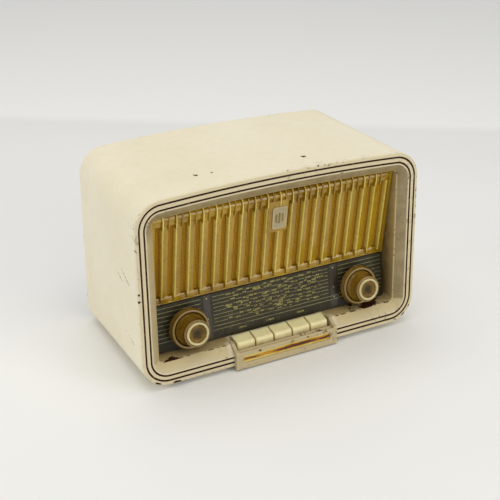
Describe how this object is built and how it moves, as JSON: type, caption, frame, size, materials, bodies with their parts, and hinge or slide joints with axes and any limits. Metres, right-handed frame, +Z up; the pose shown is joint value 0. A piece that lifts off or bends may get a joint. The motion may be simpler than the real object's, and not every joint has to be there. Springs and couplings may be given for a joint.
{
  "type": "tabletop valve radio",
  "caption": "Tabletop valve radio with moulded cabinet, ribbed loudspeaker grille, glass dial, double knobs and piano-key switches that turn, slide and press.",
  "frame": {"origin": "centre of the overall footprint, on the table plane under the feet", "axes": "+X to the right seen from the front, +Y from the front to the back, +Z up"},
  "size_m": [0.294, 0.159, 0.186],
  "materials": {
    "cabinet": "aged cream paint over dark moulded bakelite, satin, chipped along the edges",
    "speaker_grille": "clear moulded plastic, gold-brown, satin",
    "grille_cloth": "coarse woven cloth, orange gold",
    "baffle_board": "pressed board",
    "badge": "plain embossed disc, ivory",
    "dial_glass": "back-printed glass, charcoal with pale lines",
    "dial_backplate": "sheet steel, pale matt paint",
    "dial_pointer": "wire blade, red enamel",
    "dial_lamps": "tubular lamps in steel end clips",
    "keycap": "moulded ivory plastic, polished by use",
    "key_lever": "pressed steel",
    "key_frame": "plated pressed steel",
    "key_shaft": "drawn steel rod",
    "escutcheon": "moulded, beige, worn",
    "escutcheon_strip": "gold strip worn through to brown",
    "volume_knob": "clear moulded plastic, gold brown",
    "volume_insert": "ivory rim with a dished dark centre",
    "volume_shaft": "turned steel",
    "tone_ring": "clear moulded plastic, gold brown",
    "tone_sleeve": "turned brass tube",
    "dual_control": "brown moulded track housings",
    "fm_knob": "clear moulded plastic, gold brown",
    "fm_insert": "ivory rim with a dished dark centre",
    "fm_shaft": "turned steel",
    "tuning_ring": "clear moulded plastic, gold brown",
    "tuning_sleeve": "turned brass tube with a grooved pulley",
    "fm_tuner": "tinned steel can",
    "capacitor_frame": "aluminium frame and vanes",
    "capacitor_rotor": "aluminium vanes on a steel spindle",
    "cord_drum": "brown laminate drum",
    "idler_pulley": "natural nylon pulley",
    "dial_cord": "waxed cord",
    "chassis": "zinc-plated sheet steel, dull",
    "chassis_screws": "plated steel",
    "valve": "clear glass bulb with internal electrodes",
    "valve_sockets": "pale moulded sockets",
    "if_can_1": "drawn aluminium can",
    "if_can_2": "drawn aluminium can",
    "filter_capacitor": "aluminium can",
    "mains_transformer": "laminated iron and wrapped windings, varnished",
    "output_transformer": "laminated iron and wrapped windings, varnished",
    "speaker_basket": "pressed steel, grey paint",
    "speaker_magnet": "cast magnet with steel plates",
    "speaker_cone": "black-brown felted paper",
    "socket_strip": "brown laminate with sleeves",
    "back_cover": "brown pressed hardboard",
    "back_screws": "brass slotted heads",
    "feet": "black rubber"
  },
  "bodies": {
    "radio": {"cabinet": "cabinet", "speaker_grille": "speaker_grille", "grille_cloth": "grille_cloth", "baffle_board": "baffle_board", "badge": "badge", "dial_glass": "dial_glass", "dial_backplate": "dial_backplate", "dial_lamps": "dial_lamps", "key_frame": "key_frame", "key_shaft": "key_shaft", "escutcheon": "escutcheon", "escutcheon_strip": "escutcheon_strip", "dual_control": "dual_control", "fm_tuner": "fm_tuner", "capacitor_frame": "capacitor_frame", "dial_cord": "dial_cord", "chassis": "chassis", "chassis_screws": "chassis_screws", "valve_1": "valve", "valve_2": "valve", "valve_3": "valve", "valve_4": "valve", "valve_5": "valve", "valve_sockets": "valve_sockets", "if_can_1": "if_can_1", "if_can_2": "if_can_2", "filter_capacitor": "filter_capacitor", "mains_transformer": "mains_transformer", "output_transformer": "output_transformer", "speaker_basket": "speaker_basket", "speaker_magnet": "speaker_magnet", "socket_strip": "socket_strip", "back_cover": "back_cover", "back_screws": "back_screws", "feet": "feet"},
    "volume_control": {"volume_knob": "volume_knob", "volume_insert": "volume_insert", "volume_shaft": "volume_shaft"},
    "tone_control": {"tone_ring": "tone_ring", "tone_sleeve": "tone_sleeve"},
    "fm_control": {"fm_knob": "fm_knob", "fm_insert": "fm_insert", "fm_shaft": "fm_shaft"},
    "tuning_control": {"tuning_ring": "tuning_ring", "tuning_sleeve": "tuning_sleeve"},
    "gang": {"capacitor_rotor": "capacitor_rotor", "cord_drum": "cord_drum"},
    "idler": {"idler_pulley": "idler_pulley"},
    "pointer": {"dial_pointer": "dial_pointer"},
    "cone": {"speaker_cone": "speaker_cone"},
    "key_1": {"keycap_1": "keycap", "key_lever_1": "key_lever"},
    "key_2": {"keycap_2": "keycap", "key_lever_2": "key_lever"},
    "key_3": {"keycap_3": "keycap", "key_lever_3": "key_lever"},
    "key_4": {"keycap_4": "keycap", "key_lever_4": "key_lever"},
    "key_5": {"keycap_5": "keycap", "key_lever_5": "key_lever"}
  },
  "joints": [
    {"name": "key_1_press", "type": "hinge", "parent": "radio", "child": "key_1", "pos_m": [-0.04, -0.00885, 0.01283], "axis": [1, 0, 0], "range_deg": [0, 5.5], "stiffness_Nm_per_rad": 1.2, "springref_deg": -14.32},
    {"name": "key_2_press", "type": "hinge", "parent": "radio", "child": "key_2", "pos_m": [-0.02, -0.00885, 0.01283], "axis": [1, 0, 0], "range_deg": [0, 5.5], "stiffness_Nm_per_rad": 1.2, "springref_deg": -14.32},
    {"name": "key_3_press", "type": "hinge", "parent": "radio", "child": "key_3", "pos_m": [0, -0.00885, 0.01283], "axis": [1, 0, 0], "range_deg": [0, 5.5], "stiffness_Nm_per_rad": 1.2, "springref_deg": -14.32},
    {"name": "key_4_press", "type": "hinge", "parent": "radio", "child": "key_4", "pos_m": [0.02, -0.00885, 0.01283], "axis": [1, 0, 0], "range_deg": [0, 5.5], "stiffness_Nm_per_rad": 1.2, "springref_deg": -14.32},
    {"name": "key_5_press", "type": "hinge", "parent": "radio", "child": "key_5", "pos_m": [0.04, -0.00885, 0.01283], "axis": [1, 0, 0], "range_deg": [0, 5.5], "stiffness_Nm_per_rad": 1.2, "springref_deg": -14.32},
    {"name": "volume_turn", "type": "hinge", "parent": "radio", "child": "volume_control", "pos_m": [-0.0924, -0.04373, 0.04324], "axis": [0, -0.9854, 0.1702], "range_deg": [-140, 140]},
    {"name": "tone_turn", "type": "hinge", "parent": "radio", "child": "tone_control", "pos_m": [-0.0924, -0.04373, 0.04324], "axis": [0, -0.9854, 0.1702], "range_deg": [-135, 135]},
    {"name": "fm_turn", "type": "hinge", "parent": "radio", "child": "fm_control", "pos_m": [0.0924, -0.04373, 0.04324], "axis": [0, -0.9854, 0.1702], "range_deg": [-135, 135]},
    {"name": "gang_turn", "type": "hinge", "parent": "radio", "child": "gang", "pos_m": [0.048, -0.02245, 0.08422], "axis": [0, -0.9854, 0.1702], "range_deg": [-90, 90]},
    {"name": "tuning_turn", "type": "hinge", "parent": "radio", "child": "tuning_control", "pos_m": [0.0924, -0.04373, 0.04324], "axis": [0, -0.9854, 0.1702], "range_deg": [-571, 571]},
    {"name": "idler_turn", "type": "hinge", "parent": "radio", "child": "idler", "pos_m": [-0.072, -0.02994, 0.04086], "axis": [0, -0.9854, 0.1702], "range_deg": [-571, 571]},
    {"name": "pointer_slide", "type": "slide", "parent": "radio", "child": "pointer", "axis": [1, 0, 0], "range_m": [-0.0598, 0.0598]},
    {"name": "cone_move", "type": "slide", "parent": "radio", "child": "cone", "axis": [0, -0.9951, -0.0993], "range_m": [-0.001, 0.001], "stiffness_N_per_m": 900}
  ],
  "couplings": [
    {"joint": "tuning_turn", "follows": "gang_turn", "ratio": -6.3333},
    {"joint": "idler_turn", "follows": "gang_turn", "ratio": -6.3333},
    {"joint": "pointer_slide", "follows": "gang_turn", "m_per_rad": -0.038}
  ]
}
